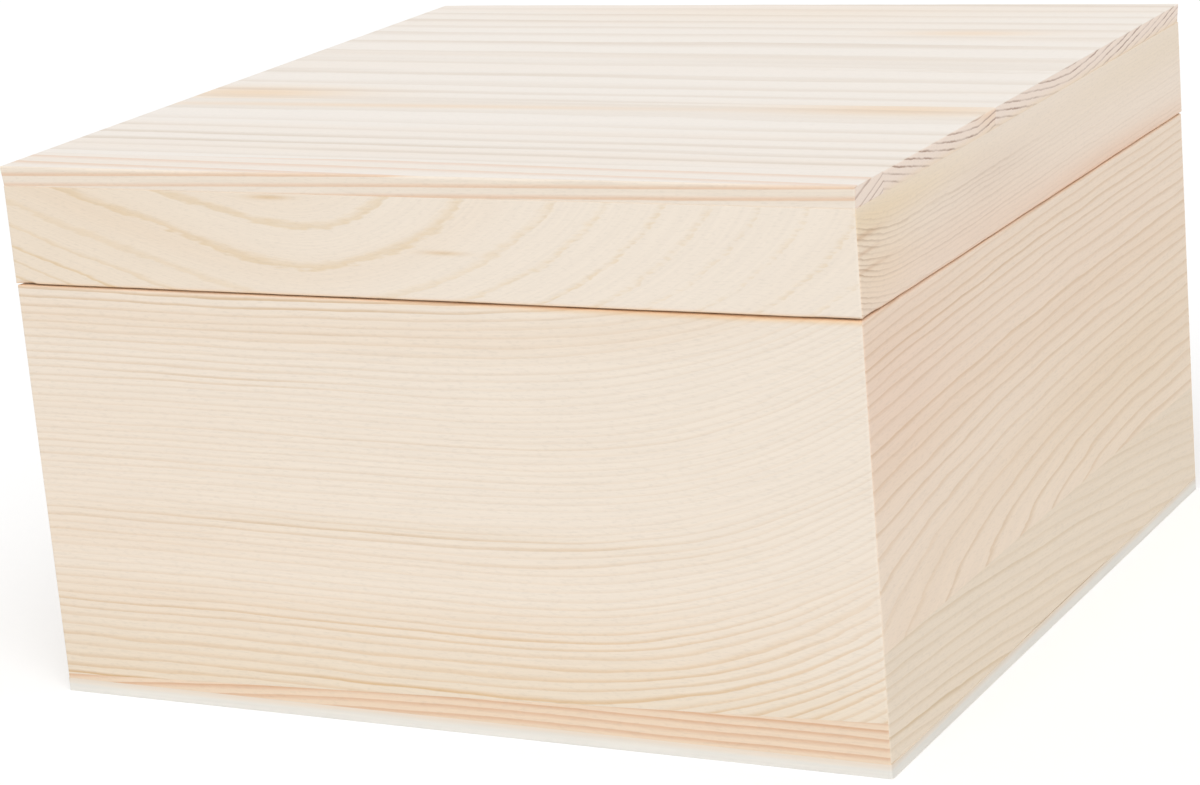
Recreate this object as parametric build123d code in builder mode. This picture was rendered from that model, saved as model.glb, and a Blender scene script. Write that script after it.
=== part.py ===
from build123d import *
from math import radians, tan
import os

# A plain softwood keepsake box: a mitred case on a thin base, and a shallow lid on two butt hinges.
# Millimetres, +Z up, X to the right along the front, origin under the middle of the case.

# Outline of the lid and the small steps below it
lid_width = 200.0  # left to right over the lid's top panel
lid_depth = 195.0  # front to back over the lid's top panel
rail_step = 0.15  # each lid rail stands this far back from the panel's edge
case_step = 0.3  # each case board stands this far back from the panel's edge

# Boards
wall = 8.0  # thickness of the case boards and of the lid rails
base_thickness = 3.0
case_wall_height = 90.7  # case boards, from the base to the rim
seam_gap = 0.4  # daylight between the case's rim and the lid's rim
rail_height = 21.5  # lid rails, from the rim to the top panel
top_thickness = 4.4

# Staves that are glued edge to edge
front_glue_left = 1.0  # height of the front's lower stave at its left end
front_glue_right = 8.7  # and at its right end
right_lower_height = 23.0  # height of the right side's lower stave
top_front_width = 13.8  # depth of the lid panel's first stave
top_middle_width = 60.2  # depth of its second, and the third takes the rest

# Arrises, sanded by hand
corner_ease = 0.6  # upright corners
rim_ease = 0.35  # both edges of each rim
top_ease = 0.45  # upper edge of the lid panel
base_ease = 0.3  # lower edge of the base

# Butt hinges, let into both rims with their barrels behind the box
hinge_spacing = 110.0  # between the middles of the two hinges
hinge_length = 22.0
leaf_thickness = 0.8
rim_lip = 2.0  # wood left between a leaf and the inside of the box
seat_play = 0.1  # room round a leaf in its mortise
knuckle_count = 5  # odd places belong to the lid, even ones to the case
knuckle_play = 0.2  # gap between neighbouring knuckles
notch_play = 0.3  # gap between a knuckle and the leaf that makes way for it
barrel_gap = 0.2  # gap between the barrel and the lid's back
pin_radius = 0.7
pin_snug = 0.02  # clearance of the pin in the case's knuckles
pin_running = 0.05  # clearance of the pin in the lid's knuckles
pin_head = 0.3  # length of the pin past each end of the barrel
pin_ease = 0.25

# Countersunk screws that hold the leaves
screw_length = 9.0
shank_radius = 0.8
screw_tip = 1.6  # length of the point
sink_angle = 90.0  # full angle of the head's cone
screw_end_margin = 4.2  # from a leaf's end to its screw
screw_play = 0.02  # clearance of a screw in its hole
head_sink = 0.03  # heads lie this far below the leaf
slot_width = 0.45
slot_depth = 0.35
pilot_spare = 0.4  # pilot holes are this much deeper than the screws reach

# Places that follow from those sizes
case_width = lid_width - 2 * case_step
case_depth = lid_depth - 2 * case_step
frame_width = lid_width - 2 * rail_step
frame_depth = lid_depth - 2 * rail_step
case_rim = base_thickness + case_wall_height
lid_rim = case_rim + seam_gap
panel_underside = lid_rim + rail_height
frame_back = frame_depth / 2
knuckle_radius = pin_radius + pin_running + leaf_thickness
knuckle_pitch = hinge_length / knuckle_count
pin_y = frame_back + barrel_gap + knuckle_radius
pin_z = (case_rim + lid_rim) / 2
leaf_inner_y = frame_back - wall + rim_lip
leaf_reach = pin_y - leaf_inner_y
screw_y = (leaf_inner_y + frame_back) / 2
sink_flank = tan(radians(sink_angle / 2))
head_depth = leaf_thickness - head_sink
head_radius = shank_radius + head_depth * sink_flank
sink_radius = shank_radius + screw_play + leaf_thickness * sink_flank
hinge_centres = {"left": -hinge_spacing / 2, "right": hinge_spacing / 2}
screw_offset = hinge_length / 2 - screw_end_margin
screw_places = [centre + side * screw_offset for centre in hinge_centres.values() for side in (-1, 1)]

os.makedirs("parts", exist_ok=True)


def side_plane(side, width, depth, height):
    """Plane at the foot of one side's outer face, X along the board and Y into the box."""
    places = {
        "front": ((0, -depth / 2, height), (1, 0, 0)),
        "right": ((width / 2, 0, height), (0, 1, 0)),
        "back": ((0, depth / 2, height), (-1, 0, 0)),
        "left": ((-width / 2, 0, height), (0, -1, 0)),
    }
    origin, along = places[side]
    return Plane(origin=origin, x_dir=along, z_dir=(0, 0, 1))


def sanded_ring(width, depth, low, height, rim_place):
    """Four walls in one ring, with its corners and its open rim sanded.

    rim_place is the rim's place among the faces from low to high: 0 for a lid, -1 for a case.
    """
    with BuildPart() as ring:
        with BuildSketch(Plane.XY.offset(low)):
            RectangleRounded(width, depth, corner_ease)
            Rectangle(width - 2 * wall, depth - 2 * wall, mode=Mode.SUBTRACT)
        extrude(amount=height)
        rim = ring.faces().sort_by(Axis.Z)[rim_place]
        fillet(rim.edges(), radius=rim_ease)
    return ring.part


def mitred_board(ring, side, width, depth, low, height):
    """The stretch of a ring that belongs to one side, cut at 45 degrees at both ends."""
    length = width if side in ("front", "back") else depth
    half = length / 2
    reach = 2 * wall
    with BuildPart() as board:
        add(ring)
        with BuildSketch(side_plane(side, width, depth, low)):
            Polygon((-half, 0), (half, 0), (half - reach, reach), (reach - half, reach), align=None)
        extrude(amount=height, mode=Mode.INTERSECT)
    return board.part


def case_side(side):
    """One mitred side of the case."""
    return mitred_board(case_ring, side, case_width, case_depth, base_thickness, case_wall_height)


def lid_rail(side):
    """One mitred rail of the lid's frame."""
    return mitred_board(lid_ring, side, frame_width, frame_depth, lid_rim, rail_height)


case_ring = sanded_ring(case_width, case_depth, base_thickness, case_wall_height, -1)
lid_ring = sanded_ring(frame_width, frame_depth, lid_rim, rail_height, 0)

# Base, a thin sheet under the case, flush all round
with BuildPart() as base_panel:
    with BuildSketch():
        RectangleRounded(case_width, case_depth, corner_ease)
    extrude(amount=base_thickness)
    fillet(base_panel.faces().sort_by(Axis.Z)[0].edges(), radius=base_ease)
base_panel.part.label = "base_panel"
export_step(base_panel.part, "parts/base_panel.step")

# Front of the case, two staves that meet along a sloping glue line
front_glue_outline = [
    (-case_width / 2, base_thickness),
    (case_width / 2, base_thickness),
    (case_width / 2, base_thickness + front_glue_right),
    (-case_width / 2, base_thickness + front_glue_left),
]
front_middle = Plane.XZ.offset(case_depth / 2 - wall / 2)

with BuildPart() as front_board:
    add(case_side("front"))
    with BuildSketch(front_middle):
        Polygon(*front_glue_outline, align=None)
    extrude(amount=wall, both=True, mode=Mode.SUBTRACT)
front_board.part.label = "front_board"
export_step(front_board.part, "parts/front_board.step")

with BuildPart() as front_lower_stave:
    add(case_side("front"))
    with BuildSketch(front_middle):
        Polygon(*front_glue_outline, align=None)
    extrude(amount=wall, both=True, mode=Mode.INTERSECT)
front_lower_stave.part.label = "front_lower_stave"
export_step(front_lower_stave.part, "parts/front_lower_stave.step")

# Right side of the case, two staves that meet along a level glue line
right_glue = Plane.XY.offset(base_thickness + right_lower_height)

with BuildPart() as right_board:
    add(case_side("right"))
    split(bisect_by=right_glue, keep=Keep.TOP)
right_board.part.label = "right_board"
export_step(right_board.part, "parts/right_board.step")

with BuildPart() as right_lower_stave:
    add(case_side("right"))
    split(bisect_by=right_glue, keep=Keep.BOTTOM)
right_lower_stave.part.label = "right_lower_stave"
export_step(right_lower_stave.part, "parts/right_lower_stave.step")

# Left side of the case
with BuildPart() as left_board:
    add(case_side("left"))
left_board.part.label = "left_board"
export_step(left_board.part, "parts/left_board.step")

# Mortise in the back's rim for each leaf, open behind, and a pilot hole under each screw
mortise_depth = frame_back - leaf_inner_y + seat_play
mortise_length = hinge_length + 2 * seat_play
pilot_depth = screw_length + head_sink - leaf_thickness + pilot_spare
pilot_radius = shank_radius + screw_play

with BuildPart() as back_board:
    add(case_side("back"))
    with BuildSketch(Plane.XY.offset(case_rim - leaf_thickness)):
        with Locations(*[(centre, leaf_inner_y - seat_play) for centre in hinge_centres.values()]):
            Rectangle(mortise_length, mortise_depth, align=(Align.CENTER, Align.MIN))
    extrude(amount=leaf_thickness, mode=Mode.SUBTRACT)
    with Locations(*[(place, screw_y, case_rim - leaf_thickness) for place in screw_places]):
        Cylinder(pilot_radius, pilot_depth, align=(Align.CENTER, Align.CENTER, Align.MAX), mode=Mode.SUBTRACT)
back_board.part.label = "back_board"
export_step(back_board.part, "parts/back_board.step")

with BuildPart() as lid_back_rail:
    add(lid_rail("back"))
    with BuildSketch(Plane.XY.offset(lid_rim)):
        with Locations(*[(centre, leaf_inner_y - seat_play) for centre in hinge_centres.values()]):
            Rectangle(mortise_length, mortise_depth, align=(Align.CENTER, Align.MIN))
    extrude(amount=leaf_thickness, mode=Mode.SUBTRACT)
    with Locations(*[(place, screw_y, lid_rim + leaf_thickness) for place in screw_places]):
        Cylinder(pilot_radius, pilot_depth, align=(Align.CENTER, Align.CENTER, Align.MIN), mode=Mode.SUBTRACT)
lid_back_rail.part.label = "lid_back_rail"
export_step(lid_back_rail.part, "parts/lid_back_rail.step")

# Other rails of the lid
for side in ("front", "left", "right"):
    with BuildPart() as rail:
        add(lid_rail(side))
    rail.part.label = f"lid_{side}_rail"
    export_step(rail.part, f"parts/lid_{side}_rail.step")

# Lid panel, three staves that run from left to right
with BuildPart() as lid_panel:
    with BuildSketch(Plane.XY.offset(panel_underside)):
        RectangleRounded(lid_width, lid_depth, corner_ease)
    extrude(amount=top_thickness)
    fillet(lid_panel.faces().sort_by(Axis.Z)[-1].edges(), radius=top_ease)

first_glue = top_front_width - lid_depth / 2
second_glue = first_glue + top_middle_width
top_staves = {
    "top_front_stave": (-lid_depth / 2, first_glue),
    "top_middle_stave": (first_glue, second_glue),
    "top_back_stave": (second_glue, lid_depth / 2),
}
for stave_name, (near, far) in top_staves.items():
    with BuildPart() as stave:
        add(lid_panel.part)
        with BuildSketch(Plane.XY.offset(panel_underside)):
            with Locations((0, near)):
                Rectangle(lid_width, far - near, align=(Align.CENTER, Align.MIN))
        extrude(amount=top_thickness, mode=Mode.INTERSECT)
    stave.part.label = stave_name
    export_step(stave.part, f"parts/{stave_name}.step")


def hinge_leaf(centre, owner):
    """One leaf: a plate let into a rim, its knuckles round the pin, and countersunk screw holes.

    The case's leaf lies under the rim's face and keeps the even knuckles, the lid's leaf lies above and
    keeps the odd ones. A square notch makes way for each knuckle of the other leaf.
    """
    on_case = owner == "case"
    start = centre - hinge_length / 2
    plate_low = case_rim - leaf_thickness if on_case else lid_rim
    bore_radius = pin_radius + (pin_snug if on_case else pin_running)
    other_knuckles = range(1, knuckle_count, 2) if on_case else range(0, knuckle_count, 2)
    notch_places = [start + (place + 0.5) * knuckle_pitch for place in other_knuckles]
    notch_edge = pin_y - knuckle_radius - notch_play
    notch_depth = 2 * (knuckle_radius + notch_play)
    face = case_rim if on_case else lid_rim
    outward = (0, 0, 1) if on_case else (0, 0, -1)
    with BuildPart() as leaf:
        with BuildSketch(Plane.YZ.offset(start)):
            with Locations((pin_y, pin_z)):
                Circle(knuckle_radius)
            with Locations((pin_y, plate_low)):
                Rectangle(leaf_reach, leaf_thickness, align=(Align.MAX, Align.MIN))
        extrude(amount=hinge_length)
        with BuildSketch(Plane.YZ.offset(start)):
            with Locations((pin_y, pin_z)):
                Circle(bore_radius)
        extrude(amount=hinge_length, mode=Mode.SUBTRACT)
        with BuildSketch(Plane.XY.offset(pin_z)):
            with Locations(*[(place, notch_edge) for place in notch_places]):
                Rectangle(knuckle_pitch + knuckle_play, notch_depth, align=(Align.CENTER, Align.MIN))
        extrude(amount=2 * knuckle_radius, both=True, mode=Mode.SUBTRACT)
        screw_planes = [
            Plane(origin=(centre + side * screw_offset, screw_y, face), z_dir=outward) for side in (-1, 1)
        ]
        with Locations(*screw_planes):
            CounterSinkHole(
                radius=shank_radius + screw_play,
                counter_sink_radius=sink_radius,
                depth=2 * leaf_thickness,
                counter_sink_angle=sink_angle,
            )
    return leaf.part


# Hinges: two leaves and a pin on each side
for hand, centre in hinge_centres.items():
    for owner in ("case", "lid"):
        with BuildPart() as leaf:
            add(hinge_leaf(centre, owner))
        leaf.part.label = f"{hand}_hinge_{owner}_leaf"
        export_step(leaf.part, f"parts/{hand}_hinge_{owner}_leaf.step")
    with BuildPart() as pin:
        with BuildSketch(Plane.YZ.offset(centre - hinge_length / 2 - pin_head)):
            with Locations((pin_y, pin_z)):
                Circle(pin_radius)
        extrude(amount=hinge_length + 2 * pin_head)
        fillet(pin.edges().filter_by(GeomType.CIRCLE), radius=pin_ease)
    pin.part.label = f"{hand}_hinge_pin"
    export_step(pin.part, f"parts/{hand}_hinge_pin.step")

# One screw, head up at the origin, with a slot across its head
with BuildPart() as screw:
    with BuildSketch(Plane.XZ):
        with BuildLine():
            Polyline(
                (0, 0),
                (head_radius, 0),
                (shank_radius, -head_depth),
                (shank_radius, screw_tip - screw_length),
                (0, -screw_length),
                close=True,
            )
        make_face()
    revolve(axis=Axis.Z)
    Box(slot_width, 2 * head_radius, 2 * slot_depth, mode=Mode.SUBTRACT)

with BuildPart() as case_hinge_screws:
    with Locations(*[(place, screw_y, case_rim - head_sink) for place in screw_places]):
        add(screw.part)
case_hinge_screws.part.label = "case_hinge_screws"
export_step(case_hinge_screws.part, "parts/case_hinge_screws.step")

lid_screw_planes = [
    Plane(origin=(place, screw_y, lid_rim + head_sink), z_dir=(0, 0, -1)) for place in screw_places
]
with BuildPart() as lid_hinge_screws:
    with Locations(*lid_screw_planes):
        add(screw.part)
lid_hinge_screws.part.label = "lid_hinge_screws"
export_step(lid_hinge_screws.part, "parts/lid_hinge_screws.step")
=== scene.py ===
"""Looks for a small hinged box of pale softwood: sanded boards, grain, brass hinges and a plain stage."""

import math

import bpy
import numpy as np
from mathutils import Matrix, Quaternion, Vector


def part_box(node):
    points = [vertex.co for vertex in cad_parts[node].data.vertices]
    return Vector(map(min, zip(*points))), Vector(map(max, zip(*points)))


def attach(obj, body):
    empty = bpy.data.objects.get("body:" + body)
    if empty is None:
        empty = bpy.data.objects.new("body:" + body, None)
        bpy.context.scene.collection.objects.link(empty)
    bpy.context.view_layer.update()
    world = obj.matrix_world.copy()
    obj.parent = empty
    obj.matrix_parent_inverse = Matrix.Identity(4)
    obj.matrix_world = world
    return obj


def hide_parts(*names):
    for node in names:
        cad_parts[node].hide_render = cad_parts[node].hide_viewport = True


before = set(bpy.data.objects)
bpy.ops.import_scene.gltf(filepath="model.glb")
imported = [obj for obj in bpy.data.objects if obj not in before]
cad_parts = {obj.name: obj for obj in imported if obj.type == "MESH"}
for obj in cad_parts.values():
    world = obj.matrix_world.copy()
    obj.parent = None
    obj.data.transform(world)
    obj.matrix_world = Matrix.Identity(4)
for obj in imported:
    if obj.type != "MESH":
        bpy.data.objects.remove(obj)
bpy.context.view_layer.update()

bl_info = {
    "name": "Wooden Box with Lid",
    "version": (1, 0, 0),
    "blender": (4, 5, 0),
    "location": "View3D > Sidebar > Wooden Box",
    "description": "Finishes a hinged softwood box: sanded boards, wood grain, hinges and stage",
    "category": "Object",
}

mm = 0.001


# Colours and places

def srgb(red, green, blue):
    """A colour as a picture shows it, 0 to 255 a channel, turned into the linear values of a shader."""
    shown = np.array((red, green, blue)) / 255
    linear = np.where(shown <= 0.04045, shown / 12.92, ((shown + 0.055) / 1.055) ** 2.4)
    return tuple(linear.tolist())


def node_box(name):
    """Lowest and highest corner of one piece of the frame, as arrays in metres."""
    low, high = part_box(name)
    return np.array(low), np.array(high)


# Settings that a user would change

def colour_setting(label, meaning, red, green, blue):
    """A colour that a user can change, its default given as a picture shows it."""
    return bpy.props.FloatVectorProperty(
        name=label, description=meaning, subtype="COLOR", min=0, max=1, default=srgb(red, green, blue))


def length_setting(label, meaning, millimetres):
    """A length that a user can change."""
    return bpy.props.FloatProperty(
        name=label, description=meaning, unit="LENGTH", min=0, default=millimetres * mm)


def share_setting(label, meaning, most, usual):
    """A share from nothing to the most that makes sense."""
    return bpy.props.FloatProperty(
        name=label, description=meaning, subtype="FACTOR", min=0, max=most, default=usual)


def angle_setting(label, meaning, degrees):
    """An angle that a user can change."""
    return bpy.props.FloatProperty(
        name=label, description=meaning, subtype="ANGLE", default=math.radians(degrees))


def number_setting(label, meaning, usual):
    """A plain number from nothing upwards."""
    return bpy.props.FloatProperty(name=label, description=meaning, min=0, default=usual)


class WoodSettings(bpy.types.PropertyGroup):
    """Colours and strength of the grain."""

    early_colour: colour_setting("Spring Wood", "Pale wood between the lines of the case", 242, 230, 215)
    late_colour: colour_setting("Growth Lines", "Warm lines of the case's boards", 209, 175, 132)
    stave_colour: colour_setting("Lower Stave", "Warmer wood of the front's lower stave", 237, 215, 191)
    side_colour: colour_setting("Side Wood", "Pale wood of the case's right side", 243, 226, 207)
    bold_colour: colour_setting("Bold Lines", "Orange-brown lines of the narrow staves", 208, 150, 104)
    olive_colour: colour_setting("Olive Lines", "Yellowish lines of the right lower stave", 206, 174, 126)
    rail_colour: colour_setting("Rail Bands", "Straw-yellow bands of the lid's rails", 224, 196, 149)
    smoke_colour: colour_setting("Smoky Lines", "Grey-brown lines of the lid's right rail", 178, 146, 112)
    # Lid top: the panel's pale wood, painted whiter for the sheen of the white sky on the top
    top_wood_and_sheen_colour: colour_setting("Lid Top", "Pale wood of the lid's panel", 241, 233, 224)
    top_line_colour: colour_setting("Lid Top Lines", "Beige growth lines of the lid's panel", 214, 197, 177)
    # Seam shade: painted warm shade for the seam between lid and case, laid on the outer edges of the cut
    seam_shade_colour: colour_setting("Sawn Rims", "Tint that the saw left where lid and case part", 255, 225, 193)
    blush_colour: colour_setting("Blush", "Soft orange patches in the wood", 232, 203, 170)
    end_ground_colour: colour_setting("End Grain", "Rosy ground on sawn ends", 246, 228, 213)
    end_colour: colour_setting("End Grain Lines", "Dark growth lines on sawn ends", 172, 138, 116)
    sheet_colour: colour_setting("Base Sheet", "Whitish sheet under the case", 235, 232, 225)
    grain_strength: share_setting("Grain Strength", "How strongly the growth lines show", 2, 1.0)


class EdgeSettings(bpy.types.PropertyGroup):
    """How the edges are sanded and worn."""

    corner_rounding: length_setting("Corner", "Rounding of the upright corners", 0.6)
    case_rim_rounding: length_setting("Case Rim", "Rounding of the case's upper edges", 0.62)
    lid_rim_rounding: length_setting("Lid Rim", "Rounding of the lid's lower edges", 0.2)
    top_rounding: length_setting("Lid Top", "Rounding round the top of the lid's panel", 0.45)
    foot_rounding: length_setting("Base Foot", "Rounding of the base's lower edges", 0.05)
    glue_rounding: length_setting("Glue Lines", "Rounding where two staves are glued together", 0.03)
    unevenness: share_setting("Unevenness", "How far hand sanding varies the rounding", 0.9, 0.6)
    chip_length: length_setting("Chip Length", "Length of the chip in the lid's lower edge", 4.2)
    chip_depth: length_setting("Chip Depth", "Depth of the chip in the lid's lower edge", 0.9)
    open_length: length_setting("Open Joint Length", "Length of the open joint over the base", 52)
    open_depth: length_setting("Open Joint Depth", "Depth of the open joint over the base", 0.4)
    open_place: length_setting("Open Joint Place", "Its middle, behind the middle of the right side", 3)


class MetalSettings(bpy.types.PropertyGroup):
    """Finish of the hinges."""

    brass_colour: colour_setting("Brass", "Colour of the hinge leaves and screws", 214, 176, 104)
    pin_colour: colour_setting("Pin", "Colour of the hinge pins", 186, 180, 168)


class StageSettings(bpy.types.PropertyGroup):
    """Camera, lamps and floor."""

    camera_target: bpy.props.FloatVectorProperty(
        name="Target", description="Point that the camera looks at",
        subtype="XYZ", unit="LENGTH", default=(-12.48 * mm, 2.5 * mm, 45.58 * mm))
    camera_distance: length_setting("Distance", "From the target to the camera", 807.96)
    camera_azimuth: angle_setting(
        "Azimuth", "Turn of the camera round the box, from straight in front", 28.466)
    camera_elevation: angle_setting("Elevation", "Height of the camera above the level", 15.308)
    camera_roll: angle_setting("Roll", "Tilt of the camera about its own line of sight", 4.966)
    camera_lens: number_setting("Lens", "Focal length on a sensor 36 mm wide, in millimetres", 103.83)
    sky_level: number_setting("Sky", "Strength of the even light from all round", 0.62)
    key_level: number_setting("Key Lamp", "Strength of the soft lamp in front", 1.45)
    key_spread: angle_setting("Key Spread", "Width of the soft lamp, as the box sees it", 50)
    key_direction: bpy.props.FloatVectorProperty(
        name="Key Direction", description="Direction from the box towards the key lamp",
        subtype="DIRECTION", default=(0.275, -0.514, 0.813))
    floor_colour: bpy.props.FloatVectorProperty(
        name="Floor", description="Colour of the floor",
        subtype="COLOR", min=0, max=1, default=(0.86, 0.86, 0.86))


# Surfaces

end_steps = np.array((0, 0.08, 0.16, 0.26, 0.38, 0.52, 0.7, 1.0, 1.6)) * mm
station_step = 1.25 * mm
arc_points = 6
flat_margins = np.array((0.45, 0.2)) * mm


def wander(place, wavelength, start):
    """Slow unevenness between -1 and 1: three sines of the place along an edge, with wavelengths in
    the ratio 1 : 0.38 : 0.15, each begun at its own angle."""
    long_wave = 0.5 * np.sin(math.tau * place / wavelength + start)
    middle_wave = 0.3 * np.sin(math.tau * place / (0.38 * wavelength) + 3.7 * start)
    short_wave = 0.2 * np.sin(math.tau * place / (0.15 * wavelength) + 8.1 * start)
    return long_wave + middle_wave + short_wave


def scoop(place, centre, length, depth):
    """A chip out of an edge: the depth times a flat-topped bell curve of the place along the edge."""
    return depth * np.exp(-((place - centre) / (0.5 * length)) ** 4)


def stations(half):
    """Places along a board from -half to half, close together at the ends, as one column."""
    inner = half - end_steps[-1]
    count = int(2 * inner / station_step)
    middle = np.linspace(-inner, inner, count)[1:-1]
    return np.concatenate((end_steps - half, middle, half - end_steps[::-1]))[:, None]


def rounded_outline(depth, low, high, roundings):
    """Cross-section of a board at each station, as depths from the outer face and heights.
    The outline runs up the outer face, over the top, down the inner face and back underneath. Each
    corner is a quarter circle: a point at angle a lies r(1 - sin a) before the corner on the first face
    and r(1 - cos a) past it on the second. Two points more on each face keep the faces flat."""
    angle = np.linspace(0, math.pi / 2, arc_points)[None, :]
    ways = (((0, 1), (1, 0)), ((1, 0), (0, -1)), ((0, -1), (-1, 0)), ((-1, 0), (0, 1)))
    places = ((0, high), (depth, high), (depth, low), (0, low))
    depths = []
    heights = []
    for (corner_depth, corner_height), (arrive, leave), rounding in zip(places, ways, roundings):
        flat = rounding + flat_margins
        before = np.hstack((flat, rounding * (1 - np.sin(angle)), 0 * flat))
        after = np.hstack((0 * flat, rounding * (1 - np.cos(angle)), flat[:, ::-1]))
        depths.append(corner_depth - arrive[0] * before + leave[0] * after)
        heights.append(corner_height - arrive[1] * before + leave[1] * after)
    return np.hstack(depths), np.hstack(heights)


def sand(first, second, rounding):
    """Rounds the edge where two faces meet. First and second are depths below the two faces; where both
    are less than the rounding, the point is drawn in onto a quarter circle about the sound wood."""
    over_first = np.clip(rounding - first, 0, None)
    over_second = np.clip(rounding - second, 0, None)
    reach = np.maximum(np.hypot(over_first, over_second), 1e-9)
    draw = np.minimum(rounding / reach, 1)
    new_first = np.where(over_first > 0, rounding - over_first * draw, first)
    new_second = np.where(over_second > 0, rounding - over_second * draw, second)
    return new_first, new_second


def swept_surface(x, y, z):
    """Points and faces of a closed outline carried along a board: one row of points for each station and
    four-sided faces between rows. A strip of faces from top to foot closes each end: the outline's four
    corners have equally many points, so each on the outer side has its partner on the inner side. All
    faces point outwards."""
    points = np.stack((x, y, z), axis=-1)
    rows, columns = x.shape
    index = np.arange(rows * columns).reshape(rows, columns)
    near = index[:-1]
    far = index[1:]
    sides = np.stack((near, np.roll(near, -1, 1), np.roll(far, -1, 1), far), axis=-1).reshape(-1, 4)
    quarter = columns // 4
    outer = np.hstack((index[:, quarter - 1::-1], index[:, :3 * quarter - 1:-1]))
    inner = index[:, quarter:3 * quarter]
    strips = np.stack((outer[:, :-1], outer[:, 1:], inner[:, 1:], inner[:, :-1]), axis=-1)
    faces = np.vstack((sides, strips[0], strips[-1, :, ::-1]))
    points = points.reshape(-1, 3)
    corners = points[faces]
    normals = np.cross(corners[:, 2] - corners[:, 0], corners[:, 3] - corners[:, 1])
    outward = np.sum((corners.mean(1) - points.mean(0)) * normals)
    return points, faces if outward > 0 else faces[:, ::-1]


def new_object(name, data):
    """An object of the scene that shows a mesh, a lamp or a camera."""
    thing = bpy.data.objects.new(name, data)
    bpy.context.scene.collection.objects.link(thing)
    return thing


def add_piece(name, surface, body, node, material):
    """Makes a piece from its surface, smooth but for edges over 30 degrees, in place of a frame node."""
    points, faces = surface
    mesh = bpy.data.meshes.new(name)
    mesh.from_pydata(points.tolist(), [], faces.tolist())
    mesh.polygons.foreach_set("use_smooth", np.ones(len(faces), dtype=bool))
    mesh.set_sharp_from_angle(angle=math.radians(30))
    mesh.materials.append(material)
    piece = new_object(name, mesh)
    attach(piece, body)
    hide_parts(node)
    return piece


def dress_node(node, material):
    """Gives a frame node that is kept as it is a better material."""
    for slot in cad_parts[node].material_slots:
        slot.material = material


def mitred_surface(side, half_width, half_depth, depth, low, high, roundings, corner):
    """A mitred board: its outline carried along the side, each row shortened by its depth in from the
    outer face so that the ends meet the next boards at 45 degrees, then sanded at the upright corners.
    Low, high and the four roundings are functions of the place along the board."""
    half = half_width if side == "front" else half_depth
    station = stations(half)
    edges = [rounding(station) for rounding in roundings]
    inward, height = rounded_outline(depth, low(station), high(station), edges)
    along = station / half * (half - inward)
    inward, from_end = sand(inward, half - np.abs(along), corner)
    along = np.sign(along) * (half - from_end)
    if side == "front":
        return swept_surface(along, inward - half_depth, height)
    if side == "right":
        return swept_surface(half_width - inward, along, height)
    return swept_surface(inward - half_width, along, height)


def sheet_surface(low, high, roundings, end_top, end_foot, corner, front_edge, back_edge, lean=0):
    """A flat board along X: its outline carried from end to end, then sanded round the top and the foot of
    its ends and, where it has a free front or back edge, at its upright corners. The ends and the free
    edges lean in towards the foot, by Lean at the foot itself and evenly less above it."""
    half = (high[0] - low[0]) / 2
    wide = high[1] - low[1]
    thick = high[2] - low[2]
    station = stations(half)
    edges = [rounding(station) for rounding in roundings]
    level = 0 * station
    inward, height = rounded_outline(wide, low[2] + level, high[2] + level, edges)
    along = station + 0 * inward
    from_end, from_top = sand(half - np.abs(along), high[2] - height, end_top)
    from_end, from_foot = sand(from_end, thick - from_top, end_foot)
    leaning = lean * (1 - from_foot / thick)
    if front_edge:
        inward, from_end = sand(inward, from_end, corner)
        inward = inward + leaning * (1 - inward / wide)
    if back_edge:
        from_back, from_end = sand(wide - inward, from_end, corner)
        inward = wide - from_back - leaning * inward / wide
    along = np.sign(along) * (half - from_end) * (1 - leaning / half)
    return swept_surface(along, low[1] + inward, low[2] + from_foot)


# Node helpers

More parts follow.
